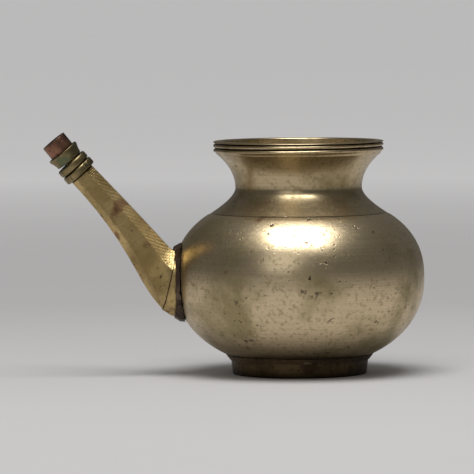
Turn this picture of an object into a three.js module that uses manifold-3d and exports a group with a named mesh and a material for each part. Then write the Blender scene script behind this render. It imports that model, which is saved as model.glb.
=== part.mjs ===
// Spouted water pot of cast and turned bell metal: belly, neck, rim, foot ring and a faceted spout.
// Millimetres, +Z up. The pot's own axis is upright, and the spout points to -X.
import * as THREE from "three";
import { mergeVertices } from "three/addons/utils/BufferGeometryUtils.js";
import Module from "manifold-3d";

const wasm = await Module();
wasm.setup();

// Gaps between neighbours that are brazed or slid together
const seam = 0.3;

// Belly: a full round shell, a little flatter below than above
const bellyRadius = 62.8;
const bellyMiddle = 47.6;
const bellyDepth = 44.6;
const bellyRise = 44;
const lowerFullness = 2.17;
const upperFullness = 2.43;
const upperRoundness = 2;
const wall = 2.2;
const shoulderHeight = 80.5;

// Neck: a waisted collar that rises from the shoulder and flares under the rim
const throatRadius = 31.65;
const throatHeight = 93.4;
const shoulderStep = 0.5;
const shoulderSlope = THREE.MathUtils.degToRad(33);
const shoulderHandle = 5.6;
const throatHandleDown = 4.4;
const throatHandleUp = 6.6;
const mouthRadius = 40.9;
const mouthHeight = 110.2;
const flareSlope = THREE.MathUtils.degToRad(38.5);
const flareHandle = 6.8;
const mouthWall = 2.6;

// Rim: a thick band with two turned ridges and a rounded lip
const rimBase = 1;
const rimRadius = 42.2;
const ridgeHeight = 2.3;
const ridgeBulge = 0.75;
const ridgeCount = 2;
const grooveDepth = 0.7;
const lipHeight = 1;
const lipRound = 0.5;

// Foot: a low ring under the belly, open below
const footRadius = 33.6;
const footTopRadius = 34.6;
const footWall = 4.6;
const footRound = 0.8;
const footBeadRun = 2.2;
const footBeadDrop = 1.8;

// Spout: where it leaves the belly, and how it stands
const rootHeight = 46.4;
const rootTall = 34.4;
const rootWide = 27.4;
const rootSink = 8;
const spoutHoleRadius = 8;
const kneeReach = 10.65;
const kneeRise = 11.75;
const kneeTall = 20.2;
const kneeWide = 15.6;
const shaftLength = 55.5;
const shaftLean = THREE.MathUtils.degToRad(50.8);
const upperBow = 0.45;
const lowerBow = 3.8;
const shaftTopTall = 13.1;
const shaftTopWide = 11.8;
const shaftTopLean = THREE.MathUtils.degToRad(48);
const saddleDip = 2.6;
const saddleRun = 2.4;
const kneeHandle = 9.2;
const heelHandle = 9;
const creaseShare = 0.66;
const spoutWall = 1.9;
const cuffWall = 3;

// Facets of the shaft, as shares of its half width and half height
const topFlat = 0.45;
const upperRidge = 0.36;
const lowerRidge = 0.63;
const bottomFlat = 0.42;

// Cuff at the root: stands proud of the shaft, with flutes on its underside
const cuffProud = 0.5;
const fluteCount = 16;
const fluteDepth = 0.9;
const cuffBeadWide = 2.4;
const cuffBeadTall = 3.2;

// Collar and tip of the spout, each turned round and bored for the water
const waterBore = 4.2;
const tenonRadius = 5.3;
const lowerRingRadius = 8.6;
const lowerRingHeight = 4;
const upperRingRadius = 8.4;
const upperRingHeight = 3.8;
const ringRound = 1;
const flangeRadius = 8.25;
const flangeLip = 1.2;
const flangeHeight = 5.7;
const waistRadius = 7.05;
const tipLean = THREE.MathUtils.degToRad(51);
const pipeRadius = 6.55;
const pipeLength = 6.8;
const pipeRound = 0.4;

// Fineness of the round surfaces
const potSteps = 48;
const ringSteps = 24;
const bellySteps = 14;
const curveSteps = 6;
const ridgeSteps = 3;
const shaftSteps = 6;
const kneeSteps = 5;
const cuffSteps = 2;
const columnsPerFlute = 4;

const right = Math.PI / 2;

// Finishes
function metal(colour, roughness, metalness = 1) {
  return new THREE.MeshStandardMaterial({ color: colour, roughness, metalness });
}

const paleBellMetal = 0xb3a583;
const turnedBellMetal = 0xbcae8c;
const yellowBrass = 0xa8924f;
const darkBrass = 0x6f6540;
const redCopper = 0x8d5238;
const darkSolder = 0x4a3d33;

function named(name, geometry, material) {
  const mesh = new THREE.Mesh(geometry, material);
  mesh.name = name;
  return mesh;
}

// Solids of revolution, turned upright: x of a profile point is a radius, y is a height
function turned(profile, steps) {
  const geometry = new THREE.LatheGeometry(profile, steps);
  geometry.rotateX(right);
  return geometry;
}

function closed(profile) {
  return [...profile, profile[0].clone()];
}

// Closed bodies for cutting and joining
function toBody(geometry) {
  const bare = geometry.clone();
  bare.deleteAttribute("normal");
  bare.deleteAttribute("uv");
  const merged = mergeVertices(bare);
  const corners = merged.index.array;
  const triangles = [];
  for (let start = 0; start < corners.length; start += 3) {
    const [a, b, c] = corners.slice(start, start + 3);
    if (a !== b && b !== c && c !== a) {
      triangles.push(a, b, c);
    }
  }
  return new wasm.Manifold(new wasm.Mesh({
    numProp: 3,
    vertProperties: new Float32Array(merged.attributes.position.array),
    triVerts: new Uint32Array(triangles),
  }));
}

function toGeometry(body) {
  const mesh = body.getMesh();
  const geometry = new THREE.BufferGeometry();
  geometry.setAttribute("position", new THREE.BufferAttribute(new Float32Array(mesh.vertProperties), 3));
  geometry.setIndex(new THREE.BufferAttribute(new Uint32Array(mesh.triVerts), 1));
  geometry.computeVertexNormals();
  return geometry;
}

// Belly curve: a full oval whose lower and upper halves differ. The angle is 0 at the widest part.
function bellyHalf(above, grow) {
  return {
    reach: (above ? bellyRise : bellyDepth) + grow,
    fullness: above ? upperFullness : lowerFullness,
    roundness: above ? upperRoundness : lowerFullness,
  };
}

function bellyPoint(angle, grow = 0) {
  const half = bellyHalf(angle > 0, grow);
  const rise = half.reach * Math.abs(Math.sin(angle)) ** (2 / half.fullness);
  const radius = (bellyRadius + grow) * Math.max(0, Math.cos(angle)) ** (2 / half.roundness);
  return new THREE.Vector2(radius, bellyMiddle + Math.sign(angle) * rise);
}

function bellyAngleAtHeight(height, grow = 0) {
  const half = bellyHalf(height > bellyMiddle, grow);
  const share = Math.abs(height - bellyMiddle) / half.reach;
  return Math.sign(height - bellyMiddle) * Math.asin(share ** (half.fullness / 2));
}

function bellyUndersideAngle(radius, grow) {
  return -Math.acos((radius / (bellyRadius + grow)) ** (lowerFullness / 2));
}

function bellyCurve(grow) {
  const top = bellyAngleAtHeight(shoulderHeight, grow);
  const points = [new THREE.Vector2(0, bellyMiddle - bellyDepth - grow)];
  for (let step = 1; step <= bellySteps; step += 1) {
    points.push(bellyPoint(THREE.MathUtils.lerp(-right, top, step / bellySteps), grow));
  }
  return points;
}

function bellySolid(grow) {
  const curve = bellyCurve(grow);
  return turned([...curve, new THREE.Vector2(0, shoulderHeight)], potSteps);
}

function belly() {
  const profile = [...bellyCurve(0), ...bellyCurve(-wall).reverse()];
  const drill = new THREE.CylinderGeometry(spoutHoleRadius, spoutHoleRadius, 2 * rootSink, ringSteps);
  drill.rotateZ(right);
  drill.translate(-bellyRadius, 0, rootHeight);
  const body = toBody(turned(profile, potSteps)).subtract(toBody(drill));
  return named("belly", toGeometry(body), metal(paleBellMetal, 0.42));
}

// Neck
function neckCurve(seatRadius, throat, mouth) {
  const seat = new THREE.Vector2(seatRadius, shoulderHeight);
  const waist = new THREE.Vector2(throat, throatHeight);
  const brim = new THREE.Vector2(mouth, mouthHeight);
  const leave = new THREE.Vector2(-Math.cos(shoulderSlope), Math.sin(shoulderSlope));
  const arrive = new THREE.Vector2(-Math.cos(flareSlope), -Math.sin(flareSlope));
  const lower = new THREE.CubicBezierCurve(
    seat,
    seat.clone().addScaledVector(leave, shoulderHandle),
    waist.clone().sub(new THREE.Vector2(0, throatHandleDown)),
    waist,
  );
  const upper = new THREE.CubicBezierCurve(
    waist,
    waist.clone().add(new THREE.Vector2(0, throatHandleUp)),
    brim.clone().addScaledVector(arrive, flareHandle),
    brim,
  );
  return [...lower.getPoints(curveSteps), ...upper.getPoints(curveSteps).slice(1)];
}

function neck() {
  const seatOutside = bellyPoint(bellyAngleAtHeight(shoulderHeight)).x - shoulderStep;
  const seatInside = bellyPoint(bellyAngleAtHeight(shoulderHeight, -wall), -wall).x;
  const outside = neckCurve(seatOutside, throatRadius, mouthRadius);
  const inside = neckCurve(seatInside, throatRadius - wall, mouthRadius - mouthWall);
  const profile = closed([...outside, ...inside.reverse()]);
  return named("neck", turned(profile, potSteps), metal(turnedBellMetal, 0.38));
}

// Rim
function rimProfile() {
  const valley = rimRadius - grooveDepth;
  const inside = mouthRadius - mouthWall;
  const shape = new THREE.Shape();
  shape.moveTo(inside, mouthHeight);
  shape.lineTo(mouthRadius, mouthHeight);
  shape.lineTo(valley, mouthHeight + rimBase);
  for (let ridge = 1; ridge <= ridgeCount; ridge += 1) {
    const top = mouthHeight + rimBase + ridge * ridgeHeight;
    shape.quadraticCurveTo(rimRadius + 2 * ridgeBulge, top - ridgeHeight / 2, valley, top);
  }
  const lipStart = mouthHeight + rimBase + ridgeCount * ridgeHeight;
  const lipTop = lipStart + lipHeight;
  shape.quadraticCurveTo(rimRadius + 2 * ridgeBulge, lipTop - lipRound, rimRadius - lipRound, lipTop);
  shape.lineTo(inside + 2 * lipRound, lipTop);
  shape.quadraticCurveTo(inside, lipTop, inside, lipTop - 2 * lipRound);
  return closed(shape.getPoints(ridgeSteps));
}

function rimBand() {
  return named("rim_band", turned(rimProfile(), potSteps), metal(turnedBellMetal, 0.34));
}

// Foot
function footSeat(fromRadius, toRadius) {
  const from = bellyUndersideAngle(fromRadius, seam);
  const to = bellyUndersideAngle(toRadius, seam);
  const points = [];
  for (let step = 0; step <= ridgeSteps; step += 1) {
    points.push(bellyPoint(THREE.MathUtils.lerp(from, to, step / ridgeSteps), seam));
  }
  return points;
}

function footRing() {
  const inside = footRadius - footWall;
  const shape = new THREE.Shape();
  shape.moveTo(inside, footRound);
  shape.quadraticCurveTo(inside, 0, inside + footRound, 0);
  shape.lineTo(footRadius - footRound, 0);
  shape.quadraticCurveTo(footRadius, 0, footRadius, footRound);
  const profile = [...shape.getPoints(ridgeSteps), ...footSeat(footTopRadius, inside)];
  return named("foot_ring", turned(closed(profile), potSteps), metal(darkBrass, 0.5));
}

function footSolder() {
  const inner = footTopRadius + seam;
  const seat = footSeat(inner + footBeadRun, inner);
  const low = new THREE.Vector2(inner, seat.at(-1).y - footBeadDrop);
  const profile = closed([low, ...seat]);
  return named("foot_solder", turned(profile, potSteps), metal(darkSolder, 0.7, 0.6));
}

// Spout outline in the plane of the pot's axis: x is negative away from the pot, y is height
function heading(lean) {
  return new THREE.Vector2(-Math.cos(lean), Math.sin(lean));
}

function upward(lean) {
  return new THREE.Vector2(Math.sin(lean), Math.cos(lean));
}

const rootPoint = new THREE.Vector2(-bellyRadius, rootHeight);
const kneePoint = rootPoint.clone().add(new THREE.Vector2(-kneeReach, kneeRise));
const shaftTopPoint = kneePoint.clone().addScaledVector(heading(shaftLean), shaftLength);

function bowed(from, to, bow) {
  const middle = from.clone().lerp(to, 0.5).addScaledVector(upward(shaftLean), bow);
  return new THREE.QuadraticBezierCurve(from, middle, to);
}

function shaftLines() {
  const topUp = upward(shaftTopLean).multiplyScalar(shaftTopTall / 2);
  const kneeUp = upward(shaftLean).multiplyScalar(kneeTall / 2);
  return {
    upper: bowed(shaftTopPoint.clone().add(topUp), kneePoint.clone().add(kneeUp), upperBow),
    lower: bowed(shaftTopPoint.clone().sub(topUp), kneePoint.clone().sub(kneeUp), lowerBow),
  };
}

function kneeLines() {
  const shaft = shaftLines();
  const rootTop = new THREE.Vector2(bellyPoint(bellyAngleAtHeight(rootHeight + rootTall / 2)).x, 0);
  const top = new THREE.Vector2(-rootTop.x, rootHeight + rootTall / 2);
  const bottom = new THREE.Vector2(top.x, rootHeight - rootTall / 2);
  const saddle = top.clone().add(new THREE.Vector2(-saddleRun, -saddleDip));
  const fall = shaft.lower.getTangent(1);
  const start = shaft.lower.v2;
  return {
    upper: new THREE.QuadraticBezierCurve(shaft.upper.v2, saddle, top),
    lower: new THREE.CubicBezierCurve(
      start,
      start.clone().addScaledVector(fall, kneeHandle),
      bottom.clone().add(new THREE.Vector2(-heelHandle, 0)),
      bottom,
    ),
  };
}

// A station of the spout: its centre, its up direction, and half its height and width
function station(upper, lower, wide) {
  const rise = upper.clone().sub(lower);
  return {
    centre: upper.clone().lerp(lower, 0.5),
    up: rise.clone().normalize(),
    tall: rise.length() / 2,
    wide: wide / 2,
  };
}

function shaftStation(share) {
  const lines = shaftLines();
  const wide = THREE.MathUtils.lerp(shaftTopWide, kneeWide, share ** 2);
  return station(lines.upper.getPoint(share), lines.lower.getPoint(share), wide);
}

function kneeStation(share) {
  const lines = kneeLines();
  const wide = THREE.MathUtils.lerp(kneeWide, rootWide, share);
  return station(lines.upper.getPoint(share), lines.lower.getPoint(share), wide);
}

function shifted(place, distance) {
  const along = new THREE.Vector2(-place.up.y, place.up.x).multiplyScalar(distance);
  return { ...place, centre: place.centre.clone().add(along) };
}

// Facet outline, with a half width and half height of 1
const facetCorners = [
  new THREE.Vector2(bottomFlat, -1),
  new THREE.Vector2(1, -lowerRidge),
  new THREE.Vector2(1, upperRidge),
  new THREE.Vector2(topFlat, 1),
  new THREE.Vector2(-topFlat, 1),
  new THREE.Vector2(-1, upperRidge),
  new THREE.Vector2(-1, -lowerRidge),
  new THREE.Vector2(-bottomFlat, -1),
];

function facetAngles() {
  const angles = [];
  facetCorners.forEach((corner, place) => {
    const next = facetCorners[(place + 1) % facetCorners.length];
    angles.push(corner.angle(), corner.clone().lerp(next, 0.5).angle());
  });
  return angles;
}

function facetReach(angle) {
  const ray = new THREE.Vector2(Math.cos(angle), Math.sin(angle));
  let reach = Infinity;
  facetCorners.forEach((corner, place) => {
    const edge = facetCorners[(place + 1) % facetCorners.length].clone().sub(corner);
    const outward = new THREE.Vector2(edge.y, -edge.x);
    if (outward.dot(ray) > 0) {
      reach = Math.min(reach, outward.dot(corner) / outward.dot(ray));
    }
  });
  return reach;
}

function placed(place, aside, above) {
  const point = place.centre.clone().addScaledVector(place.up, above);
  return new THREE.Vector3(point.x, aside, point.y);
}

function facetSection(place, angles) {
  return angles.map((angle) => {
    const reach = facetReach(angle);
    return placed(place, place.wide * reach * Math.cos(angle), place.tall * reach * Math.sin(angle));
  });
}

function ovalSection(place, angles, wide, tall) {
  return angles.map((angle) => placed(place, wide * Math.cos(angle), tall * Math.sin(angle)));
}

// A closed body from rows of points. Wrapped rows close on themselves, the others get end caps.
function bodyFromRows(rows, wrapped) {
  const columns = rows[0].length;
  const points = rows.flat();
  const index = [];
  const lastRow = wrapped ? rows.length : rows.length - 1;
  for (let row = 0; row < lastRow; row += 1) {
    const next = (row + 1) % rows.length;
    for (let column = 0; column < columns; column += 1) {
      const beside = (column + 1) % columns;
      const near = row * columns;
      const far = next * columns;
      index.push(near + column, far + beside, far + column);
      index.push(near + column, near + beside, far + beside);
    }
  }
  if (!wrapped) {
    const middles = [rows[0], rows.at(-1)].map((row) => {
      const sum = row.reduce((total, point) => total.add(point), new THREE.Vector3());
      return sum.divideScalar(columns);
    });
    const first = points.length;
    points.push(...middles);
    for (let column = 0; column < columns; column += 1) {
      const beside = (column + 1) % columns;
      const end = (rows.length - 1) * columns;
      index.push(first, beside, column);
      index.push(first + 1, end + column, end + beside);
    }
  }
  const geometry = new THREE.BufferGeometry();
  geometry.setAttribute("position", new THREE.Float32BufferAttribute(points.flatMap((p) => p.toArray()), 3));
  geometry.setIndex(index);
  geometry.computeVertexNormals();
  return geometry;
}

const collarHeight = lowerRingHeight + upperRingHeight + 2 * seam;

function spoutShaft() {
  const angles = facetAngles();
  const top = shaftStation(0);
  const stations = [];
  for (let step = 0; step < shaftSteps; step += 1) {
    stations.push(shaftStation(step / shaftSteps));
  }
  for (let step = 0; step < kneeSteps; step += 1) {
    stations.push(kneeStation((creaseShare * step) / kneeSteps));
  }
  stations.push(shifted(kneeStation(creaseShare), seam));
  const outer = [
    ovalSection(shifted(top, collarHeight), angles, tenonRadius, tenonRadius),
    ovalSection(top, angles, tenonRadius, tenonRadius),
    ...stations.map((place) => facetSection(place, angles)),
  ];
  const inner = [
    ovalSection(shifted(top, collarHeight), angles, waterBore, waterBore),
    ovalSection(top, angles, waterBore, waterBore),
    ...stations.slice(1).map((place) => {
      return ovalSection(place, angles, place.wide - spoutWall, place.tall - spoutWall);
    }),
  ];
  const geometry = bodyFromRows([...outer, ...inner.reverse()], true);
  return named("spout_shaft", geometry, metal(yellowBrass, 0.4));
}

// Cuff: from the crease to the belly, fluted below
function cuffAngles() {
  const columns = fluteCount * columnsPerFlute;
  return Array.from({ length: columns }, (_, column) => (2 * Math.PI * column) / columns);
}

function cuffSection(place, angles, share, proud) {
  return angles.map((angle) => {
    const reach = THREE.MathUtils.lerp(facetReach(angle), 1, share);
    const below = Math.max(0, -Math.sin(angle));
    const flute = fluteDepth * share * below * (1 - Math.cos(fluteCount * angle)) / 2;
    const wide = place.wide + proud - flute;
    const tall = place.tall + proud - flute;
    return placed(place, wide * reach * Math.cos(angle), tall * reach * Math.sin(angle));
  });
}

function rootStations(fromShare) {
  const shares = [];
  for (let step = 0; step <= cuffSteps; step += 1) {
    shares.push(THREE.MathUtils.lerp(fromShare, 1, step / cuffSteps));
  }
  const stations = shares.map((share) => ({ share, place: kneeStation(share) }));
  const root = stations.at(-1).place;
  const sunk = { ...root, centre: root.centre.clone().add(new THREE.Vector2(rootSink, 0)) };
  return [...stations, { share: 1, place: sunk }];
}

function rootRows(fromShare, proud) {
  const angles = cuffAngles();
  return rootStations(fromShare).map(({ share, place }) => {
    const roundness = Math.max(0, share - creaseShare) / (1 - creaseShare);
    return cuffSection(place, angles, roundness, proud);
  });
}

function spoutCuff() {
  const angles = cuffAngles();
  const inner = rootStations(creaseShare).map(({ place }) => {
    return ovalSection(place, angles, place.wide - cuffWall, place.tall - cuffWall);
  });
  const sleeve = toBody(bodyFromRows([...rootRows(creaseShare, cuffProud), ...inner.reverse()], true));
  const body = sleeve.subtract(toBody(bellySolid(seam)));
  return named("spout_cuff", toGeometry(body), metal(yellowBrass, 0.45));
}

function cuffSolder() {
  const angles = cuffAngles();
  const root = kneeStation(1);
  const deep = { ...root, centre: root.centre.clone().add(new THREE.Vector2(rootSink, 0)) };
  const outer = { ...root, centre: root.centre.clone().sub(new THREE.Vector2(cuffBeadTall, 0)) };
  const grown = cuffProud + cuffBeadWide;
  const fillet = bodyFromRows([
    cuffSection(outer, angles, 1, cuffProud + 2 * seam),
    cuffSection(root, angles, 1, grown),
    cuffSection(deep, angles, 1, grown),
  ], false);
  const cuffHull = toBody(bodyFromRows(rootRows(creaseShare, cuffProud + seam), false));
  const kneeHull = toBody(bodyFromRows(rootRows(0, cuffProud + seam), false));
  const body = toBody(fillet).subtract(toBody(bellySolid(seam))).subtract(cuffHull).subtract(kneeHull);
  return named("cuff_solder", toGeometry(body), metal(darkSolder, 0.6, 0.7));
}

// Collar and tip: turned about the spout's own axis, which is +Z of their group
function turnedRing(name, bore, radius, height, material) {
  const shape = new THREE.Shape();
  shape.moveTo(bore, 0);
  shape.lineTo(radius - ringRound, 0);
  shape.quadraticCurveTo(radius, 0, radius, ringRound);
  shape.lineTo(radius, height - ringRound);
  shape.quadraticCurveTo(radius, height, radius - ringRound, height);
  shape.lineTo(bore, height);
  return named(name, turned(closed(shape.getPoints(ridgeSteps)), ringSteps), material);
}

const collarBore = tenonRadius + seam;

function tipFlange() {
  const lipBase = flangeHeight - flangeLip;
  const shape = new THREE.Shape();
  shape.moveTo(collarBore, 0);
  shape.lineTo(waistRadius, 0);
  shape.quadraticCurveTo(waistRadius, lipBase / 2, flangeRadius, lipBase);
  shape.lineTo(flangeRadius, flangeHeight);
  shape.lineTo(collarBore, flangeHeight);
  const profile = closed(shape.getPoints(ridgeSteps));
  return named("tip_flange", turned(profile, ringSteps), metal(darkBrass, 0.5));
}

function tipPipe() {
  const shoulder = flangeHeight + seam;
  const end = shoulder + pipeLength;
  const shape = new THREE.Shape();
  shape.moveTo(waterBore, 0);
  shape.lineTo(tenonRadius, 0);
  shape.lineTo(tenonRadius, shoulder);
  shape.lineTo(pipeRadius, shoulder);
  shape.lineTo(pipeRadius, end - pipeRound);
  shape.quadraticCurveTo(pipeRadius, end, pipeRadius - pipeRound, end);
  shape.lineTo(waterBore, end);
  const profile = closed(shape.getPoints(ridgeSteps));
  return named("tip_pipe", turned(profile, ringSteps), metal(redCopper, 0.45));
}

// A group whose +Z runs up the spout at a lean, from a point of the spout's outline plane
function spoutGroup(origin, lean, ...pieces) {
  const group = new THREE.Group();
  group.position.set(origin.x, 0, origin.y);
  group.rotation.y = lean - right;
  group.add(...pieces);
  return group;
}

function collar() {
  const lower = turnedRing("collar_ring_lower", collarBore, lowerRingRadius, lowerRingHeight,
    metal(darkBrass, 0.5));
  const upper = turnedRing("collar_ring_upper", collarBore, upperRingRadius, upperRingHeight,
    metal(darkBrass, 0.5));
  lower.position.z = seam;
  upper.position.z = seam + lowerRingHeight + seam;
  return spoutGroup(shaftTopPoint, shaftTopLean, lower, upper);
}

function tip() {
  const wedge = upperRingRadius * Math.tan(tipLean - shaftTopLean) + seam;
  const start = shaftTopPoint.clone().addScaledVector(heading(shaftTopLean), collarHeight);
  start.addScaledVector(heading(tipLean), wedge);
  return spoutGroup(start, tipLean, tipFlange(), tipPipe());
}

function waterPot() {
  const pot = new THREE.Group();
  pot.add(belly(), neck(), rimBand(), footRing(), footSolder());
  pot.add(spoutShaft(), spoutCuff(), cuffSolder(), collar(), tip());
  pot.updateMatrixWorld(true);
  const middle = new THREE.Box3().setFromObject(pot, true).getCenter(new THREE.Vector3());
  pot.position.x = -middle.x;
  return pot;
}

export default waterPot();
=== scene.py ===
"""Spouted water pot of aged bell metal: its pieces, finishes, light and camera."""
import logging
import math
from dataclasses import dataclass, field
from enum import Enum

import bmesh
import bpy
from mathutils import Matrix, Vector, noise


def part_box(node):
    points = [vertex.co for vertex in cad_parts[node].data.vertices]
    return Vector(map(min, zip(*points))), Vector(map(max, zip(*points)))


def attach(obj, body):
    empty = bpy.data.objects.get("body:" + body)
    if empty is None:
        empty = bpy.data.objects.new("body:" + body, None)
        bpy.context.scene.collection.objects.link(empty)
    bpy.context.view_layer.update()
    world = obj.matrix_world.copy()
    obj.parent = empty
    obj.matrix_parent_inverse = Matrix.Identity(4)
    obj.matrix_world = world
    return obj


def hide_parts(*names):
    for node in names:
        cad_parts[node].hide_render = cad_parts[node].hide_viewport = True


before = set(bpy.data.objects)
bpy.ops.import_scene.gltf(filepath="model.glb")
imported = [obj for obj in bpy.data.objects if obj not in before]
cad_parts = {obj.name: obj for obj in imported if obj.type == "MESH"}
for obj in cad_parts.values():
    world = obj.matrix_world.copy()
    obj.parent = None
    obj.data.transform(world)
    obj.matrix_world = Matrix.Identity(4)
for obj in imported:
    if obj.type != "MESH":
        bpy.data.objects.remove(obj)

LOG = logging.getLogger("water_pot")
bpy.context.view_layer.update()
BODY = "root"
MM = 0.001
SPIN_STEPS = 160
DENT_SEED = 1
MERGE = 0.001 * MM

Triple = tuple[float, float, float]
Point = tuple[float, float]
Profile = list[Point]
Socket = bpy.types.NodeSocket

UNSTRETCHED: Triple = (1.0, 1.0, 1.0)
WORLD_ORIGIN = Vector((0.0, 0.0, 0.0))


class Slot(Enum):
    """Material slots of the record."""

    BELLY = "belly_metal"
    NECK = "neck_metal"
    FOOT = "foot_metal"
    SOLDER = "solder"
    SPOUT = "spout_brass"
    COLLAR = "collar_brass"
    TIP = "tip_copper"


class Marks(Enum):
    """Kind of the fine tool marks: marks to a metre along X, Y and Z."""

    TURNED = (18.0, 18.0, 2600.0)
    FILED = (260.0, 260.0, 1400.0)
    CAST = (420.0, 420.0, 420.0)


@dataclass
class NodeKit:
    """Short ways to add shader nodes to one material.

    Args:
        tree: node tree that the nodes go into.
    """

    tree: bpy.types.NodeTree

    def add(self, kind: str, inputs: dict[str | int, object], **settings: object) -> bpy.types.Node:
        """Add a node, set its properties, and fill or link its inputs.

        Args:
            kind: Blender's name of the node type.
            inputs: value or source socket for each input, by its name or number.
            settings: properties of the node.

        Returns:
            The new node.
        """
        node = self.tree.nodes.new(kind)
        for name, value in settings.items():
            setattr(node, name, value)
        for name, value in inputs.items():
            if isinstance(value, Socket):
                self.tree.links.new(value, node.inputs[name])
            else:
                node.inputs[name].default_value = value
        return node

    def place(self, centre: Vector, turn: float = 0.0, stretch: Triple = UNSTRETCHED) -> Socket:
        """Object coordinates about a centre, turned about Y, then stretched.

        Args:
            centre: point that the pattern is centred on.
            turn: turn of the coordinates about Y, in radians.
            stretch: stretch of the turned coordinates along each axis.

        Returns:
            The coordinates for a texture.
        """
        coordinates = self.add("ShaderNodeTexCoord", {}).outputs["Object"]
        inputs = {
            "Vector": coordinates,
            "Location": tuple(centre),
            "Rotation": (0.0, -turn, 0.0),
            "Scale": tuple(1.0 / share for share in stretch),
        }
        return self.add("ShaderNodeMapping", inputs, vector_type="TEXTURE").outputs["Vector"]

    def noise(self, where: Socket, scale: float, detail: float) -> Socket:
        """Cloudy noise.

        Args:
            where: coordinates.
            scale: clouds to a metre.
            detail: number of finer layers.

        Returns:
            Level of the noise, from 0 to 1.
        """
        inputs = {"Vector": where, "Scale": scale, "Detail": detail}
        return self.add("ShaderNodeTexNoise", inputs).outputs["Fac"]

    def between(self, value: Socket, low: float, high: float, start: float = 0.0, end: float = 1.0) -> Socket:
        """Map a range of a value to another range, clamped.

        Args:
            value: value to map.
            low: value that gives start.
            high: value that gives end.
            start: result at low.
            end: result at high.

        Returns:
            The mapped value.
        """
        inputs = {"Value": value, "From Min": low, "From Max": high, "To Min": start, "To Max": end}
        return self.add("ShaderNodeMapRange", inputs).outputs["Result"]

    def math(self, operation: str, first: Socket | float, second: Socket | float) -> Socket:
        """One sum on two values.

        Args:
            operation: Blender's name of the sum.
            first: first value.
            second: second value.

        Returns:
            Its result.
        """
        return self.add("ShaderNodeMath", {0: first, 1: second}, operation=operation).outputs[0]

    def mix(self, share: Socket, under: Socket | Triple, over: Socket | Triple) -> Socket:
        """Lay one colour over another.

        Args:
            share: how much of the upper colour shows.
            under: lower colour.
            over: upper colour.

        Returns:
            The mixed colour.
        """
        colour_a, colour_b, colour_result = 6, 7, 2
        node = self.add("ShaderNodeMix", {0: share}, data_type="RGBA")
        for place, colour in ((colour_a, under), (colour_b, over)):
            if isinstance(colour, Socket):
                self.tree.links.new(colour, node.inputs[place])
            else:
                node.inputs[place].default_value = (*colour, 1.0)
        return node.outputs[colour_result]


@dataclass(frozen=True)
class Patches:
    """Soft-edged patches cut out of a cloudy noise.

    Args:
        scale: patches to a metre.
        detail: number of finer layers.
        edge: width of the soft edge, as a noise level.
    """

    scale: float
    detail: float
    edge: float

    def lay(self, kit: NodeKit, where: Socket, reach: float) -> Socket:
        """Lay the patches on a surface.

        Args:
            kit: maker of nodes.
            where: coordinates.
            reach: noise level at which a patch starts; lower means more of them.

        Returns:
            Share of the patches, from 0 to 1.
        """
        return kit.between(kit.noise(where, self.scale, self.detail), reach, reach + self.edge)


@dataclass(frozen=True)
class Wear:
    """Sizes and strengths of what age leaves on every metal of the pot, and of the shade painted into its
    crevices.

    Args:
        clouds: dull clouds of patina.
        cloud_share: how much of the patina's colour they take.
        freckles: fine dull specks.
        freckle_reach: noise level at which they start.
        freckle_share: how much of the patina's colour they take.
        stain_and_glint_spots: sparse spots of another colour: stains, and on the solder painted glints.
        stain_and_glint_share: how much of the spots' colour they take.
        mark_detail: number of finer layers of the tool marks.
        streak_levels: level of the tool marks at which their streaks start and are full.
        streak_share: how much of the patina's colour the streaks take.
        pit_scale: casting pits to a metre.
        pit_rims: share of a cell at which a pit's floor ends and its edge ends.
        pit_fields: where the fine pits are.
        sores: large ragged pits.
        sore_reach: noise level at which they start.
        sore_fields: where the large pits are.
        sore_lead: how much sooner than the fine pits their fields start.
        pit_share: darkness of the pits.
        pit_colour: colour in the pits.
        pit_depth: depth of the pits, in metres.
        crevice_shade_reach: width of the crevices that get painted shade, in metres.
        crevice_shade_samples: rays that feel for a crevice.
        crevice_shade_levels: openness at which the painted shade is full and at which it ends.
        crevice_shade_share: darkness of the painted shade.
        crevice_shade_colour: colour of the painted shade.
        grain_scale: humps of the skin to a metre.
        grain_detail: number of finer layers of the humps.
        grain_height: height of the humps, in metres.
        bump_strength: strength of the relief.
        dullest: sum of clouds and freckles at which the roughness is highest.
    """

    clouds: Patches = Patches(34.0, 7.0, 0.16)
    cloud_share: float = 0.85
    freckles: Patches = Patches(520.0, 5.0, 0.14)
    freckle_reach: float = 0.52
    freckle_share: float = 0.55
    stain_and_glint_spots: Patches = Patches(95.0, 6.0, 0.07)
    stain_and_glint_share: float = 0.75
    mark_detail: float = 3.0
    streak_levels: Point = (0.42, 0.7)
    streak_share: float = 0.3
    pit_scale: float = 430.0
    pit_rims: Point = (0.1, 0.24)
    pit_fields: Patches = Patches(70.0, 3.0, 0.12)
    sores: Patches = Patches(230.0, 6.0, 0.05)
    sore_reach: float = 0.64
    sore_fields: Patches = Patches(27.0, 2.0, 0.08)
    sore_lead: float = 0.02
    pit_share: float = 0.85
    pit_colour: Triple = (0.03, 0.024, 0.018)
    pit_depth: float = 0.16 * MM
    # Painted shade: every metal is darkened in its crevices and between its parts, where ambient occlusion
    # finds them.
    crevice_shade_reach: float = 4 * MM
    crevice_shade_samples: int = 8
    crevice_shade_levels: Point = (0.45, 0.85)
    crevice_shade_share: float = 0.9
    crevice_shade_colour: Triple = (0.02, 0.015, 0.01)
    grain_scale: float = 260.0
    grain_detail: float = 3.0
    grain_height: float = 0.04 * MM
    bump_strength: float = 0.7
    dullest: float = 1.6


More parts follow.
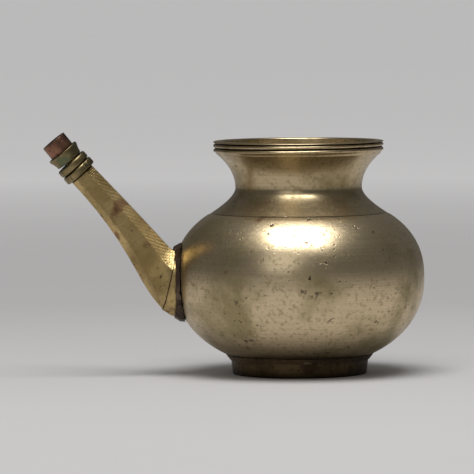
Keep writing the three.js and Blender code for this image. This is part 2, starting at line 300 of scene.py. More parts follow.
@dataclass(frozen=True)
class Hatching:
    """Incised ladder and slanting lines on the spout's facets between its top and its sides.

    Args:
        ladder_scale: size of the ladder's waves.
        slant_scale: size of the slanting waves.
        waver: unevenness of the lines.
        line_width: share of a wave that a line takes.
        sideways: least share by which a hatched facet faces the spout's upper side.
        upwards: greatest share by which a hatched facet faces the spout's upper side.
        darkness: how dark the lines are.
        colour: colour in the lines.
        depth: depth of the lines, in metres.
    """

    ladder_scale: float = 330.0
    slant_scale: float = 210.0
    waver: float = 1.2
    line_width: float = 0.35
    sideways: float = 0.32
    upwards: float = 0.88
    darkness: float = 0.5
    colour: Triple = (0.09, 0.07, 0.03)
    depth: float = 0.12 * MM

    def facets(self, kit: NodeKit, turn: float) -> Socket:
        """Pick the facets that carry the hatching.

        Args:
            kit: maker of nodes.
            turn: lean of the spout off the upright, in radians.

        Returns:
            1 on those facets and 0 elsewhere.
        """
        upper_side = (math.cos(turn), 0.0, math.sin(turn))
        normal = kit.add("ShaderNodeNewGeometry", {}).outputs["Normal"]
        product = kit.add("ShaderNodeVectorMath", {0: normal, 1: upper_side}, operation="DOT_PRODUCT")
        facing = product.outputs["Value"]
        above = kit.math("GREATER_THAN", facing, self.sideways)
        beside = kit.math("LESS_THAN", facing, self.upwards)
        return kit.math("MULTIPLY", above, beside)

    def lines(self, kit: NodeKit, where: Socket, direction: str, scale: float) -> Socket:
        """One set of incised lines.

        Args:
            kit: maker of nodes.
            where: coordinates.
            direction: Blender's name of the direction across the lines.
            scale: size of the waves.

        Returns:
            Depth of the lines, from 0 to 1.
        """
        inputs = {"Vector": where, "Scale": scale, "Distortion": self.waver, "Detail": 1.0}
        wave = kit.add("ShaderNodeTexWave", inputs, bands_direction=direction)
        return kit.between(wave.outputs["Fac"], 0.0, self.line_width, 1.0, 0.0)

    def lay(self, kit: NodeKit, centre: Vector, turn: float) -> Socket:
        """Lay the hatching on the spout.

        Args:
            kit: maker of nodes.
            centre: middle of the pattern.
            turn: lean of the spout off the upright, in radians.

        Returns:
            Depth of the hatching, from 0 to 1.
        """
        where = kit.place(centre, turn)
        ladder = self.lines(kit, where, "Z", self.ladder_scale)
        slant = self.lines(kit, where, "DIAGONAL", self.slant_scale)
        return kit.math("MULTIPLY", kit.math("MAXIMUM", ladder, slant), self.facets(kit, turn))


@dataclass(frozen=True)
class AgedMetal:
    """An old metal surface with clouds of patina, tool marks and casting pits.

    Args:
        name: name of the material.
        colour: clean metal.
        patina: colour of the dull clouds.
        stain_and_glint: colour of the sparse spots; on the solder it is a pale painted glint.
        roughness: lowest and highest roughness.
        marks: kind of the tool marks.
        mark_depth: height of the tool marks, in metres.
        patina_reach: noise level at which patina starts; lower means more of it.
        stain_and_glint_reach: noise level at which the spots start.
        pit_reach: noise level above which there are pits.
        turn: turn of the pattern about Y, in radians.
        hatching: incised lines, if there are any.
        wear: sizes and strengths of the wear.
    """

    name: str
    colour: Triple
    patina: Triple
    stain_and_glint: Triple
    roughness: Point
    marks: Marks
    mark_depth: float
    patina_reach: float
    stain_and_glint_reach: float
    pit_reach: float
    turn: float = 0.0
    hatching: Hatching | None = None
    wear: Wear = Wear()

    def pits(self, kit: NodeKit, even: Socket) -> Socket:
        """Fine round casting pits and large ragged ones.

        Args:
            kit: maker of nodes.
            even: unstretched coordinates.

        Returns:
            Share of the pits, from 0 to 1.
        """
        wear = self.wear
        inputs = {"Vector": even, "Scale": wear.pit_scale, "Randomness": 1.0}
        cells = kit.add("ShaderNodeTexVoronoi", inputs).outputs["Distance"]
        round_pits = kit.between(cells, *wear.pit_rims, 1.0, 0.0)
        fine = kit.math("MULTIPLY", round_pits, wear.pit_fields.lay(kit, even, self.pit_reach))
        fields = wear.sore_fields.lay(kit, even, self.pit_reach - wear.sore_lead)
        large = kit.math("MULTIPLY", wear.sores.lay(kit, even, wear.sore_reach), fields)
        return kit.math("MAXIMUM", fine, large)

    def aged_colour(self, kit: NodeKit, even: Socket, clouds: Socket, freckles: Socket,
                    tool_marks: Socket) -> Socket:
        """Colour with its patina, streaks, stains, the solder's painted glints, and painted shade in
        crevices.

        Args:
            kit: maker of nodes.
            even: unstretched coordinates.
            clouds: share of the dull clouds.
            freckles: share of the fine specks.
            tool_marks: level of the tool marks.

        Returns:
            The colour, without pits.
        """
        wear = self.wear
        dull = kit.mix(kit.math("MULTIPLY", clouds, wear.cloud_share), self.colour, self.patina)
        streaks = kit.between(tool_marks, *wear.streak_levels, 0.0, wear.streak_share)
        streaked = kit.mix(streaks, dull, self.patina)
        freckled = kit.mix(kit.math("MULTIPLY", freckles, wear.freckle_share), streaked, self.patina)
        # Sparse spots: real stains on most metals, and painted glints on the solder.
        stain_and_glint_spots = wear.stain_and_glint_spots.lay(kit, even, self.stain_and_glint_reach)
        stained_and_glinting = kit.mix(kit.math("MULTIPLY", stain_and_glint_spots, wear.stain_and_glint_share), freckled, self.stain_and_glint)
        # Painted shade: ambient occlusion darkens the colour in crevices, seams and between parts.
        openness = kit.add("ShaderNodeAmbientOcclusion", {"Distance": wear.crevice_shade_reach},
                           samples=wear.crevice_shade_samples)
        painted_crevice_shade = kit.between(openness.outputs["AO"], *wear.crevice_shade_levels, wear.crevice_shade_share, 0.0)
        return kit.mix(painted_crevice_shade, stained_and_glinting, wear.crevice_shade_colour)

    def relief(self, kit: NodeKit, even: Socket, tool_marks: Socket, pits: Socket) -> Socket:
        """Height of the skin with its tool marks, pits and grain.

        Args:
            kit: maker of nodes.
            even: unstretched coordinates.
            tool_marks: level of the tool marks.
            pits: share of the pits.

        Returns:
            The height, in metres.
        """
        wear = self.wear
        marks = kit.math("MULTIPLY", tool_marks, self.mark_depth)
        marks_and_pits = kit.math("SUBTRACT", marks, kit.math("MULTIPLY", pits, wear.pit_depth))
        grain = kit.noise(even, wear.grain_scale, wear.grain_detail)
        return kit.math("ADD", marks_and_pits, kit.math("MULTIPLY", grain, wear.grain_height))

    def make(self, centre: Vector) -> bpy.types.Material:
        """Build the material.

        Args:
            centre: point that the pattern is centred on.

        Returns:
            The finished material.
        """
        wear = self.wear
        material = bpy.data.materials.new(self.name)
        material.use_nodes = True
        kit = NodeKit(material.node_tree)
        even = kit.place(centre, self.turn)
        tooled = kit.place(centre, self.turn, self.marks.value)
        tool_marks = kit.noise(tooled, 1.0, wear.mark_detail)
        clouds = wear.clouds.lay(kit, even, self.patina_reach)
        freckles = wear.freckles.lay(kit, even, wear.freckle_reach)
        pits = self.pits(kit, even)
        aged = self.aged_colour(kit, even, clouds, freckles, tool_marks)
        colour = kit.mix(kit.math("MULTIPLY", pits, wear.pit_share), aged, wear.pit_colour)
        height = self.relief(kit, even, tool_marks, pits)
        if self.hatching:
            cuts = self.hatching.lay(kit, centre, self.turn)
            colour = kit.mix(kit.math("MULTIPLY", cuts, self.hatching.darkness), colour, self.hatching.colour)
            height = kit.math("SUBTRACT", height, kit.math("MULTIPLY", cuts, self.hatching.depth))
        bump = kit.add("ShaderNodeBump", {"Height": height, "Strength": wear.bump_strength, "Distance": 1.0})
        rough = kit.between(kit.math("ADD", clouds, freckles), 0.0, wear.dullest, *self.roughness)
        shader = material.node_tree.nodes["Principled BSDF"]
        material.node_tree.links.new(colour, shader.inputs["Base Color"])
        material.node_tree.links.new(rough, shader.inputs["Roughness"])
        material.node_tree.links.new(bump.outputs["Normal"], shader.inputs["Normal"])
        shader.inputs["Metallic"].default_value = 1.0
        return material


# Lean of the spout above the horizontal, and off the upright, which its patterns follow
SPOUT_LEAN = math.radians(50.8)
SPOUT_TURN = math.pi / 2 - SPOUT_LEAN

FINISHES: dict[Slot, AgedMetal] = {
    Slot.BELLY: AgedMetal(
        name="aged bell metal", colour=(0.70, 0.56, 0.36), patina=(0.30, 0.245, 0.12),
        stain_and_glint=(0.26, 0.13, 0.05), roughness=(0.30, 0.46), marks=Marks.TURNED, mark_depth=0.01 * MM,
        patina_reach=0.50, stain_and_glint_reach=0.66, pit_reach=0.52,
    ),
    Slot.NECK: AgedMetal(
        name="turned bell metal", colour=(0.58, 0.46, 0.28), patina=(0.26, 0.205, 0.10),
        stain_and_glint=(0.22, 0.15, 0.07), roughness=(0.28, 0.42), marks=Marks.TURNED, mark_depth=0.008 * MM,
        patina_reach=0.52, stain_and_glint_reach=0.70, pit_reach=0.60,
    ),
    Slot.FOOT: AgedMetal(
        name="dark foot brass", colour=(0.13, 0.09, 0.045), patina=(0.04, 0.028, 0.015),
        stain_and_glint=(0.04, 0.025, 0.015), roughness=(0.38, 0.6), marks=Marks.TURNED, mark_depth=0.01 * MM,
        patina_reach=0.44, stain_and_glint_reach=0.58, pit_reach=0.46,
    ),
    # The solder's pale spot colour is painted glints on the dark bead.
    Slot.SOLDER: AgedMetal(
        name="dark solder", colour=(0.27, 0.19, 0.11), patina=(0.06, 0.04, 0.035),
        stain_and_glint=(0.55, 0.46, 0.36), roughness=(0.30, 0.6), marks=Marks.CAST, mark_depth=0.06 * MM,
        patina_reach=0.44, stain_and_glint_reach=0.64, pit_reach=0.5,
    ),
    Slot.SPOUT: AgedMetal(
        name="yellow spout brass", colour=(0.60, 0.44, 0.20), patina=(0.26, 0.18, 0.07),
        stain_and_glint=(0.20, 0.09, 0.05), roughness=(0.28, 0.46), marks=Marks.FILED, mark_depth=0.02 * MM,
        patina_reach=0.45, stain_and_glint_reach=0.60, pit_reach=0.5, turn=SPOUT_TURN, hatching=Hatching(),
    ),
    Slot.COLLAR: AgedMetal(
        name="green brass", colour=(0.36, 0.27, 0.13), patina=(0.07, 0.065, 0.035),
        stain_and_glint=(0.12, 0.15, 0.085), roughness=(0.30, 0.55), marks=Marks.TURNED, mark_depth=0.01 * MM,
        patina_reach=0.42, stain_and_glint_reach=0.58, pit_reach=0.48, turn=SPOUT_TURN,
    ),
    Slot.TIP: AgedMetal(
        name="red tip copper", colour=(0.32, 0.16, 0.10), patina=(0.09, 0.05, 0.035),
        stain_and_glint=(0.04, 0.03, 0.025), roughness=(0.30, 0.5), marks=Marks.TURNED, mark_depth=0.01 * MM,
        patina_reach=0.45, stain_and_glint_reach=0.56, pit_reach=0.5, turn=SPOUT_TURN,
    ),
}


def smooth_but_crisp(shape: bmesh.types.BMesh, crisp: float) -> None:
    """Shade a shape smooth, with sharp edges where its faces meet at more than an angle.

    Args:
        shape: shape to shade.
        crisp: the angle, in radians.
    """
    for face in shape.faces:
        face.smooth = True
    for edge in shape.edges:
        edge.smooth = len(edge.link_faces) != 2 or edge.calc_face_angle(math.pi) < crisp


def bezier(controls: Profile, steps: int) -> Profile:
    """Points of a Bezier curve.

    Args:
        controls: control points, both ends included.
        steps: number of stretches.

    Returns:
        The points, both ends included.
    """
    degree = len(controls) - 1
    curve = []
    for step in range(steps + 1):
        share = step / steps
        weights = [math.comb(degree, k) * (1 - share) ** (degree - k) * share ** k for k in range(degree + 1)]
        curve.append(tuple(sum(w * point[axis] for w, point in zip(weights, controls)) for axis in (0, 1)))
    return curve


@dataclass
class Workshop:
    """Shapes and dresses pieces, and keeps one material for each slot.

    Args:
        axis_x: place of the pot's upright axis.
        made: material of each slot.
    """

    axis_x: float
    made: dict[Slot, bpy.types.Material] = field(default_factory=dict)

    def finish(self, slot: Slot) -> bpy.types.Material:
        """Find the material of a slot, and make it the first time.

        Args:
            slot: slot of the record.

        Returns:
            Its material.
        """
        if slot not in self.made:
            self.made[slot] = FINISHES[slot].make(Vector((self.axis_x, 0.0, 0.0)))
        return self.made[slot]

    def add_object(self, name: str, shape: bmesh.types.BMesh) -> bpy.types.Object:
        """Put a shape in the scene.

        Args:
            name: name of the object.
            shape: finished shape, which is freed.

        Returns:
            The new object.
        """
        mesh = bpy.data.meshes.new(name)
        shape.to_mesh(mesh)
        shape.free()
        thing = bpy.data.objects.new(name, mesh)
        bpy.context.scene.collection.objects.link(thing)
        return thing

    def deliver(self, name: str, shape: bmesh.types.BMesh, slot: Slot, node: str) -> bpy.types.Object:
        """Turn a finished shape into a dressed piece that stands for a node.

        Args:
            name: name of the piece.
            shape: finished shape, which is freed.
            slot: slot of its finish.
            node: node that it stands for.

        Returns:
            The new object.
        """
        piece = self.add_object(name, shape)
        piece.data.materials.append(self.finish(slot))
        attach(piece, BODY)
        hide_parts(node)
        LOG.info("%s made, %d faces", name, len(piece.data.polygons))
        return piece

    def spun(self, profile: Profile, crisp: float) -> bmesh.types.BMesh:
        """Spin a ring's profile, or one whose ends are on the axis, about the pot's axis.

        Args:
            profile: radius and height of each point.
            crisp: angle above which an edge stays sharp, in radians.

        Returns:
            The closed shape, with its faces pointing out.
        """
        shape = bmesh.new()
        points = [shape.verts.new((self.axis_x + radius, 0.0, height)) for radius, height in profile]
        edges = [shape.edges.new(pair) for pair in zip(points, points[1:])]
        if min(radius for radius, _ in profile) > MERGE:
            edges.append(shape.edges.new((points[-1], points[0])))
        bmesh.ops.spin(shape, geom=points + edges, cent=(self.axis_x, 0.0, 0.0), axis=(0.0, 0.0, 1.0),
                       dvec=(0.0, 0.0, 0.0), angle=2 * math.pi, steps=SPIN_STEPS, use_merge=True)
        bmesh.ops.remove_doubles(shape, verts=shape.verts, dist=MERGE)
        bmesh.ops.recalc_face_normals(shape, faces=shape.faces)
        smooth_but_crisp(shape, crisp)
        return shape

    def refined(self, node: str, crisp: float) -> bmesh.types.BMesh:
        """Copy a node's mesh and merge it, shaded smooth between its real edges.

        Args:
            node: node to copy.
            crisp: angle above which an edge stays sharp, in radians.

        Returns:
            The copy.
        """
        shape = bmesh.new()
        shape.from_mesh(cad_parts[node].data)
        bmesh.ops.remove_doubles(shape, verts=shape.verts, dist=MERGE)
        smooth_but_crisp(shape, crisp)
        return shape


@dataclass
class Belly:
    """The cast round shell.

    Args:
        shop: maker of the pieces.
        radius: widest outside radius.
        base: height of the underside.
        shoulder: height of the seam with the neck.
        middle: height of the widest part.
        rise: height from the widest part to where the upper curve would close.
        wall: thickness of the shell.
        lower_fullness: exponent of the lower curve.
        upper_fullness: exponent of the upper curve's height.
        steps: points of the curve.
        crisp: angle above which an edge stays sharp, in degrees.
        edge_round: width of the rounded edge at the seam.
        edge_middle: shares of that width by which the edge's middle lies in and down.
        hole_radius: radius of the hole that feeds the spout.
        hole_length: length of the drill, which passes the wall once.
        hole_segments: sides of the drill.
    """

    shop: Workshop
    radius: float
    base: float
    shoulder: float
    middle: float = 47.6 * MM
    rise: float = 44 * MM
    wall: float = 2.2 * MM
    lower_fullness: float = 2.17
    upper_fullness: float = 2.43
    steps: int = 72
    crisp: float = 50.0
    edge_round: float = 0.45 * MM
    edge_middle: Point = (0.2, 0.5)
    hole_radius: float = 8 * MM
    hole_length: float = 16 * MM
    hole_segments: int = 48

    def point(self, angle: float, grow: float) -> Point:
        """One point of the outline.

        Args:
            angle: angle round the widest part's middle, negative below it, in radians.
            grow: distance by which the outline is grown outwards, negative inwards.

        Returns:
            Its radius and height.
        """
        if angle > 0:
            height = (self.rise + grow) * math.sin(angle) ** (2 / self.upper_fullness)
            return (self.radius + grow) * math.cos(angle), self.middle + height
        depth = (self.middle - self.base + grow) * math.sin(-angle) ** (2 / self.lower_fullness)
        return (self.radius + grow) * math.cos(angle) ** (2 / self.lower_fullness), self.middle - depth

    def curve(self, grow: float) -> Profile:
        """Outline from the axis below to the shoulder seam.

        Args:
            grow: distance by which the outline is grown outwards, negative inwards.

        Returns:
            Radius and height of each point.
        """
        bottom = -math.pi / 2
        share = (self.shoulder - self.middle) / (self.rise + grow)
        top = math.asin(share ** (self.upper_fullness / 2))
        points = [(0.0, self.base - grow)]
        for step in range(1, self.steps + 1):
            points.append(self.point(bottom + (top - bottom) * step / self.steps, grow))
        return points

    def seat_inside(self) -> float:
        """Inside radius of the shell at the shoulder seam."""
        return self.curve(-self.wall)[-1][0]

    def build(self) -> bpy.types.Object:
        """Spin the shell, with a rounded edge at the seam, and bore the spout's hole.

        Returns:
            The shell.
        """
        outside = self.curve(0.0)
        edge_radius, edge_height = outside.pop()
        share_in, share_down = self.edge_middle
        middle_radius = edge_radius - share_in * self.edge_round
        outside.append((middle_radius, edge_height - share_down * self.edge_round))
        outside.append((edge_radius - self.edge_round, edge_height))
        inside = self.curve(-self.wall)[::-1]
        shape = self.shop.spun(outside + inside, math.radians(self.crisp))
        shell = self.shop.deliver("belly_shell", shape, Slot.BELLY, "belly")
        self.bore(shell)
        return shell

    def drill(self) -> bpy.types.Object:
        """Make the round drill for the spout's hole, level with the middle of the cuff.

        Returns:
            The drill.
        """
        cuff_low, cuff_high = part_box("spout_cuff")
        height = (cuff_low.z + cuff_high.z) / 2
        place = Matrix.Translation((self.shop.axis_x - self.radius, 0.0, height))
        shape = bmesh.new()
        bmesh.ops.create_cone(shape, cap_ends=True, segments=self.hole_segments, radius1=self.hole_radius,
                              radius2=self.hole_radius, depth=self.hole_length,
                              matrix=place @ Matrix.Rotation(math.pi / 2, 4, "Y"))
        return self.shop.add_object("drill", shape)

    def bore(self, shell: bpy.types.Object) -> None:
        """Cut the round hole that feeds the spout.

        Args:
            shell: shell to cut.
        """
        drill = self.drill()
        cut = shell.modifiers.new("hole", "BOOLEAN")
        cut.operation = "DIFFERENCE"
        cut.object = drill
        graph = bpy.context.evaluated_depsgraph_get()
        bored = bpy.data.meshes.new_from_object(shell.evaluated_get(graph))
        shell.modifiers.clear()
        shell.data = bored
        bpy.data.objects.remove(drill)


@dataclass
class Neck:
    """The waisted upper part, from the shoulder seam to the rim.

    Args:
        shop: maker of the pieces.
        seat: outside radius at the seam.
        seat_inside: inside radius at the seam.
        low: height of the seam.
        high: height of the rim's underside.
        throat: narrowest outside radius.
        throat_height: height of the narrowest part.
        mouth: outside radius under the rim.
        wall: thickness of the wall.
        mouth_wall: thickness under the rim.
        shoulder_pull: how far in and up the curve runs straight from the seam.
        mouth_pull: how far in and down the curve runs straight from the rim.
        throat_down: how far the curve runs straight down from the throat.
        throat_up: how far the curve runs straight up from the throat.
        groove_depth: depth of the dark groove at the seam.
        groove_height: height of the groove.
        steps: points of each of the two curves.
        crisp: angle above which an edge stays sharp, in degrees.
    """

    shop: Workshop
    seat: float
    seat_inside: float
    low: float
    high: float
    throat: float = 31.65 * MM
    throat_height: float = 93.4 * MM
    mouth: float = 40.9 * MM
    wall: float = 2.2 * MM
    mouth_wall: float = 2.6 * MM
    shoulder_pull: Point = (4.7 * MM, 3.05 * MM)
    mouth_pull: Point = (5.32 * MM, 4.23 * MM)
    throat_down: float = 4.4 * MM
    throat_up: float = 6.6 * MM
    groove_depth: float = 0.7 * MM
    groove_height: float = 0.35 * MM
    steps: int = 24
    crisp: float = 50.0

    def side(self, seat: float, throat: float, mouth: float) -> Profile:
        """One side of the wall from the seam to the rim.

        Args:
            seat: radius at the seam.
            throat: radius at the narrowest part.
            mouth: radius under the rim.

        Returns:
            Radius and height of each point.
        """
        pull_in, pull_up = self.shoulder_pull
        lower = [(seat, self.low), (seat - pull_in, self.low + pull_up),
                 (throat, self.throat_height - self.throat_down), (throat, self.throat_height)]
        pull_in, pull_down = self.mouth_pull
        upper = [(throat, self.throat_height), (throat, self.throat_height + self.throat_up),
                 (mouth - pull_in, self.high - pull_down), (mouth, self.high)]
        return bezier(lower, self.steps) + bezier(upper, self.steps)[1:]

    def build(self) -> bpy.types.Object:
        """Spin the wall, set back in a fine dark groove at the seam.

        Returns:
            The wall.
        """
        outside = self.side(self.seat, self.throat, self.mouth)
        groove_radius = self.seat - self.groove_depth
        outside[0] = (groove_radius, self.low)
        outside.insert(1, (groove_radius, self.low + self.groove_height))
        inside = self.side(self.seat_inside, self.throat - self.wall, self.mouth - self.mouth_wall)
        shape = self.shop.spun(outside + inside[::-1], math.radians(self.crisp))
        return self.shop.deliver("neck_wall", shape, Slot.NECK, "neck")


@dataclass
class Rim:
    """The heavy mouth ring with turned ridges, whose grooves run a little aslant.

    Args:
        shop: maker of the pieces.
        low: height of its underside.
        high: height of its lip.
        inside: radius of the mouth.
        neck_radius: outside radius of the neck under it.
        radius: radius at the lip's shoulder.
        groove: depth of the grooves.
        bulge: how far the ridges stand proud of that radius.
        ridges: number of ridges.
        base: height of the plain part under the ridges.
        lip: height of the lip over the ridges.
        lip_round: width of the lip's rounded outer edge.
        mouth_round: width of the lip's rounded inner edge.
        slant: rise of the grooves for each unit of length along X.
        ridge_steps: stretches of a ridge's curve.
        lip_steps: stretches of the lip's outer curve.
        mouth_steps: stretches of the lip's inner curve.
        crisp: angle above which an edge stays sharp, in degrees.
    """

    shop: Workshop
    low: float
    high: float
    inside: float = 38.3 * MM
    neck_radius: float = 40.9 * MM
    radius: float = 42.2 * MM
    groove: float = 0.7 * MM
    bulge: float = 0.75 * MM
    ridges: int = 2
    base: float = 1.0 * MM
    lip: float = 1.0 * MM
    lip_round: float = 0.5 * MM
    mouth_round: float = 1.0 * MM
    slant: float = 0.007
    ridge_steps: int = 10
    lip_steps: int = 8
    mouth_steps: int = 6
    crisp: float = 38.0

    def outer_side(self) -> Profile:
        """Underside, ridges and lip.

        Returns:
            Radius and height of each point, each once.
        """
        valley = self.radius - self.groove
        crest = self.radius + 2 * self.bulge
        pitch = (self.high - self.low - self.base - self.lip) / self.ridges
        points: Profile = [(self.inside, self.low), (self.neck_radius, self.low)]
        for ridge in range(self.ridges):
            start = self.low + self.base + ridge * pitch
            controls = [(valley, start), (crest, start + pitch / 2), (valley, start + pitch)]
            points += bezier(controls, self.ridge_steps)
        controls = [(valley, self.high - self.lip), (crest, self.high - self.lip_round),
                    (self.radius - self.lip_round, self.high)]
        points += bezier(controls, self.lip_steps)[1:]
        return [point for place, point in enumerate(points) if point not in points[:place]]

    def inner_side(self) -> Profile:
        """The lip's rounded inner edge.

        Returns:
            Radius and height of each point.
        """
        controls = [(self.inside + self.mouth_round, self.high), (self.inside, self.high),
                    (self.inside, self.high - self.mouth_round)]
        return bezier(controls, self.mouth_steps)

    def build(self) -> bpy.types.Object:
        """Spin the ridges, then lean the grooves, with the underside and the lip level.

        Returns:
            The rim.
        """
        shape = self.shop.spun(self.outer_side() + self.inner_side(), math.radians(self.crisp))
        for vertex in shape.verts:
            share = (vertex.co.z - self.low) / (self.high - self.low)
            ease = max(0.0, math.sin(math.pi * min(1.0, max(0.0, share))))
            vertex.co.z += self.slant * ease * (vertex.co.x - self.shop.axis_x)
        return self.shop.deliver("rim_ridges", shape, Slot.NECK, "rim_band")


@dataclass
class RefinedPiece:
    """A piece whose CAD shape is right, and which gets soft edges and an uneven surface.

    Args:
        shop: maker of the pieces.
        node: node that it refines.
        name: name of the piece.
        slot: slot of its finish.
        crisp: angle above which an edge stays sharp, in degrees.
        bevel: width of the rounded edges, or 0.
        wobble: height of the hand-made unevenness, or 0.
        slim: depth by which its skin is drawn in, or 0.
        dents: bumps of the unevenness to a metre.
        bevel_segments: faces across a rounded edge.
    """

    shop: Workshop
    node: str
    name: str
    slot: Slot
    crisp: float
    bevel: float = 0.0
    wobble: float = 0.0
    slim: float = 0.0
    dents: float = 260.0
    bevel_segments: int = 3

    def build(self) -> bpy.types.Object:
        """Copy the node's shape, make it uneven, and round its edges.

        Returns:
            The piece.
        """
        shape = self.shop.refined(self.node, math.radians(self.crisp))
        shape.normal_update()
        for vertex in shape.verts:
            vertex.co -= vertex.normal * self.slim
            vertex.co += noise.noise_vector(vertex.co * self.dents) * self.wobble
        piece = self.shop.deliver(self.name, shape, self.slot, self.node)
        if self.bevel:
            rounding = piece.modifiers.new("rounded edges", "BEVEL")
            rounding.width = self.bevel
            rounding.segments = self.bevel_segments
            rounding.limit_method = "ANGLE"
            rounding.angle_limit = math.radians(self.crisp)
        return piece


@dataclass
class Foot:
    """The ring that the pot stands on, and the bead in the crevice above it.

    Args:
        shop: maker of the pieces.
        ring_wobble: unevenness of the ring.
        bead_wobble: unevenness of the bead.
        bead_slim: depth by which the bead's skin is drawn in.
    """

    shop: Workshop
    ring_wobble: float = 0.08 * MM
    bead_wobble: float = 0.2 * MM
    bead_slim: float = 0.2 * MM

    def build(self) -> None:
        """Build the ring and its bead."""
        RefinedPiece(self.shop, "foot_ring", "foot_band", Slot.FOOT, crisp=35.0,
                     wobble=self.ring_wobble).build()
        RefinedPiece(self.shop, "foot_solder", "foot_bead", Slot.SOLDER, crisp=60.0,
                     wobble=self.bead_wobble, slim=self.bead_slim).build()


@dataclass
class Spout:
    """The faceted shaft, its fluted cuff, and the bead round the cuff.

    Args:
        shop: maker of the pieces.
        facet_bevel: width of the rounded edges between facets.
        cuff_wobble: unevenness of the flutes.
        bead_wobble: unevenness of the bead.
        bead_slim: depth by which the bead's skin is drawn in.
    """

    shop: Workshop
    facet_bevel: float = 0.4 * MM
    cuff_wobble: float = 0.08 * MM
    bead_wobble: float = 0.25 * MM
    bead_slim: float = 0.55 * MM

    def build(self) -> None:
        """Build the shaft, the cuff and its bead."""
        RefinedPiece(self.shop, "spout_shaft", "spout_facets", Slot.SPOUT, crisp=16.0,
                     bevel=self.facet_bevel).build()
        RefinedPiece(self.shop, "spout_cuff", "spout_flutes", Slot.SPOUT, crisp=24.0,
                     wobble=self.cuff_wobble).build()
        RefinedPiece(self.shop, "cuff_solder", "cuff_bead", Slot.SOLDER, crisp=60.0,
                     wobble=self.bead_wobble, slim=self.bead_slim).build()


@dataclass
class SpoutTip:
    """The two collar rings, the flanged ring and the copper pipe end.

    Args:
        shop: maker of the pieces.
        crisp: angle above which an edge stays sharp, in degrees.
        ring_wobble: unevenness of the rings.
        flange_bevel: width of the flanged ring's rounded edges.
        pipe_wobble: unevenness of the pipe.
    """

    shop: Workshop
    crisp: float = 40.0
    ring_wobble: float = 0.08 * MM
    flange_bevel: float = 0.25 * MM
    pipe_wobble: float = 0.05 * MM

    def build(self) -> None:
        """Build the rings and the pipe, from the lowest up."""
        for node, name in (("collar_ring_lower", "lower_collar"), ("collar_ring_upper", "upper_collar")):
            RefinedPiece(self.shop, node, name, Slot.COLLAR, crisp=self.crisp,
                         wobble=self.ring_wobble).build()
        RefinedPiece(self.shop, "tip_flange", "tip_collar", Slot.COLLAR, crisp=self.crisp,
                     bevel=self.flange_bevel, wobble=self.ring_wobble).build()
        RefinedPiece(self.shop, "tip_pipe", "copper_tip", Slot.TIP, crisp=self.crisp,
                     wobble=self.pipe_wobble).build()


@dataclass(frozen=True)
class Lamp:
    """A soft square lamp that shines at the pot.

    Args:
        name: name of the lamp.
        place: where it hangs, from the foot of the pot's axis.
        size: length of its side.
        power: its power in watts.
    """

    name: str
    place: Triple
    size: float
    power: float

    def hang(self, axis_x: float, aim_height: float) -> None:
        """Hang the lamp.

        Args:
            axis_x: place of the pot's upright axis.
            aim_height: height of the point on the axis that it shines at.
        """
        place = Vector(self.place) + Vector((axis_x, 0.0, 0.0))
        ray = Vector((axis_x, 0.0, aim_height)) - place
        data = bpy.data.lights.new(self.name, "AREA")
        data.size = self.size
        data.energy = self.power
        lamp = bpy.data.objects.new(self.name, data)
        lamp.matrix_world = Matrix.Translation(place) @ ray.to_track_quat("-Z", "Y").to_matrix().to_4x4()
        bpy.context.scene.collection.objects.link(lamp)


OVERHEAD_LAMP = Lamp("overhead lamp", (-0.05, -0.4, 1.45), 1.0, 23.0)
FRONT_LAMP = Lamp("front lamp", (-0.7, -1.7, 0.9), 1.1, 3.0)


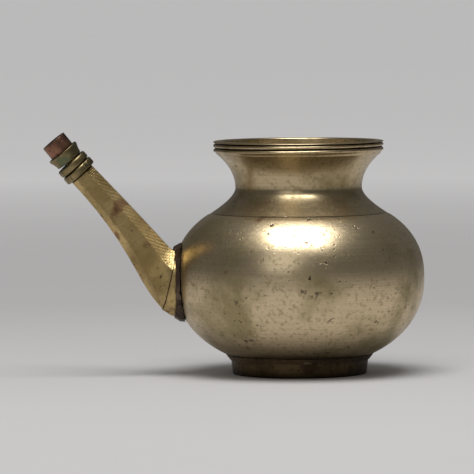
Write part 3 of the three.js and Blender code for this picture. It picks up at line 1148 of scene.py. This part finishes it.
@dataclass
class Studio:
    """Pale floor, soft lamps and the camera at the photograph's angle.

    Args:
        shop: maker of shapes.
        scale: metres to a pixel of the photograph, at the pot's axis.
        distance: from the camera to the pot's axis.
        camera_height: height of the camera.
        spout_turn: how far the spout is turned towards the camera, in degrees.
        roll: lean of the picture, in degrees.
        image_size: pixels of the photograph's side.
        axis_pixel: column of the pot's axis in it.
        floor_pixel: row of the foot in it.
        sensor: width of the camera's sensor, in millimetres.
        sight: greatest distance that the camera sees.
        aim_height: height that the lamps shine at.
        floor_radius: radius of the floor.
        floor_clouds: clouds of the floor's shade to a metre.
        floor_detail: number of finer layers of those clouds.
        floor_shades: darkest and palest colour of the floor.
        floor_roughness: roughness of the floor.
        glow_reach: distance from the pot at which the floor's paling starts and is full.
        glow: brightness that the paling adds to the camera's view.
        glow_colour: colour of the paling.
        world_level: brightness of the even light.
        mirrored_level: brightness of the surroundings in the metal's gloss.
        backdrop_level: brightness of the surroundings behind the floor.
    """

    shop: Workshop
    scale: float = 0.5 * MM
    distance: float = 2.4
    camera_height: float = 0.205
    spout_turn: float = 5.0
    roll: float = -0.4
    image_size: int = 474
    axis_pixel: float = 299.0
    floor_pixel: float = 374.2
    sensor: float = 36.0
    sight: float = 200.0
    aim_height: float = 60 * MM
    floor_radius: float = 80.0
    floor_clouds: float = 3.0
    floor_detail: float = 4.0
    floor_shades: tuple[Triple, Triple] = ((0.455, 0.445, 0.443), (0.485, 0.473, 0.471))
    floor_roughness: float = 0.9
    glow_reach: Point = (0.5, 2.2)
    glow: float = 0.36
    glow_colour: Triple = (1.0, 0.99, 0.99)
    world_level: float = 0.3
    mirrored_level: float = 0.11
    backdrop_level: float = 0.5

    def camera(self) -> None:
        """Create the camera and make it the scene's own."""
        turn = math.radians(self.spout_turn)
        forward = Vector((math.sin(turn), math.cos(turn), 0.0))
        right = Vector((math.cos(turn), -math.sin(turn), 0.0))
        middle = self.image_size / 2
        target = Vector((self.shop.axis_x, 0.0, (self.floor_pixel - middle) * self.scale))
        target -= right * (self.axis_pixel - middle) * self.scale
        place = target - forward * self.distance
        place.z = self.camera_height
        data = bpy.data.cameras.new("camera")
        data.sensor_width = self.sensor
        data.lens = self.sensor * self.distance / (self.scale * self.image_size)
        data.clip_end = self.sight
        aim = (target - place).to_track_quat("-Z", "Y").to_matrix().to_4x4()
        camera = bpy.data.objects.new("camera", data)
        tilt = Matrix.Rotation(math.radians(self.roll), 4, "Z")
        camera.matrix_world = Matrix.Translation(place) @ aim @ tilt
        bpy.context.scene.collection.objects.link(camera)
        bpy.context.scene.camera = camera

    def floor_finish(self) -> bpy.types.Material:
        """Matt pale floor, which stays pale to the camera far from the lamps.

        Returns:
            The material.
        """
        material = bpy.data.materials.new("pale floor")
        material.use_nodes = True
        kit = NodeKit(material.node_tree)
        where = kit.place(WORLD_ORIGIN)
        clouds = kit.noise(where, self.floor_clouds, self.floor_detail)
        away = kit.add("ShaderNodeVectorMath", {0: where}, operation="LENGTH").outputs["Value"]
        to_camera = kit.add("ShaderNodeLightPath", {}).outputs["Is Camera Ray"]
        paling = kit.math("MULTIPLY", kit.between(away, *self.glow_reach, 0.0, self.glow), to_camera)
        shader = material.node_tree.nodes["Principled BSDF"]
        material.node_tree.links.new(kit.mix(clouds, *self.floor_shades), shader.inputs["Base Color"])
        material.node_tree.links.new(paling, shader.inputs["Emission Strength"])
        shader.inputs["Emission Color"].default_value = (*self.glow_colour, 1.0)
        shader.inputs["Roughness"].default_value = self.floor_roughness
        return material

    def floor(self) -> None:
        """Lay a wide round floor."""
        shape = bmesh.new()
        bmesh.ops.create_circle(shape, cap_ends=True, segments=64, radius=self.floor_radius)
        floor = self.shop.add_object("floor", shape)
        floor.data.materials.append(self.floor_finish())

    def background(self, kit: NodeKit, level: float) -> Socket:
        """Surroundings of one even grey.

        Args:
            kit: maker of nodes.
            level: brightness.

        Returns:
            The background shader.
        """
        inputs = {"Color": (level, level, level, 1.0), "Strength": 1.0}
        return kit.add("ShaderNodeBackground", inputs).outputs["Background"]

    def world(self) -> None:
        """Light the scene evenly, and show one grey to the camera and a darker one in gloss."""
        world = bpy.data.worlds.new("studio")
        world.use_nodes = True
        bpy.context.scene.world = world
        world.node_tree.nodes.remove(world.node_tree.nodes["Background"])
        kit = NodeKit(world.node_tree)
        path = kit.add("ShaderNodeLightPath", {})
        light = self.background(kit, self.world_level)
        mirrored = self.background(kit, self.mirrored_level)
        backdrop = self.background(kit, self.backdrop_level)
        inputs = {0: path.outputs["Is Glossy Ray"], 1: light, 2: mirrored}
        unseen = kit.add("ShaderNodeMixShader", inputs).outputs[0]
        inputs = {0: path.outputs["Is Camera Ray"], 1: unseen, 2: backdrop}
        shown = kit.add("ShaderNodeMixShader", inputs).outputs[0]
        world.node_tree.links.new(shown, world.node_tree.nodes["World Output"].inputs["Surface"])

    def build(self) -> None:
        """Set up view, floor, light and camera."""
        bpy.context.scene.view_settings.view_transform = "Standard"
        self.floor()
        self.world()
        OVERHEAD_LAMP.hang(self.shop.axis_x, self.aim_height)
        FRONT_LAMP.hang(self.shop.axis_x, self.aim_height)
        self.camera()


def main() -> None:
    """Build the pot's pieces and the studio, in order."""
    logging.basicConfig(level=logging.INFO, format="%(message)s")
    noise.seed_set(DENT_SEED)
    belly_low, belly_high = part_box("belly")
    neck_low, neck_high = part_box("neck")
    rim_low, rim_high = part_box("rim_band")
    shop = Workshop((neck_low.x + neck_high.x) / 2)
    belly = Belly(shop, (belly_high.y - belly_low.y) / 2, belly_low.z, belly_high.z)
    neck = Neck(shop, (neck_high.y - neck_low.y) / 2, belly.seat_inside(), neck_low.z, neck_high.z)
    rim = Rim(shop, rim_low.z, rim_high.z)
    for part in (belly, neck, rim, Foot(shop), Spout(shop), SpoutTip(shop), Studio(shop)):
        part.build()
        LOG.info("%s built", type(part).__name__)


if __name__ == "__main__":
    main()
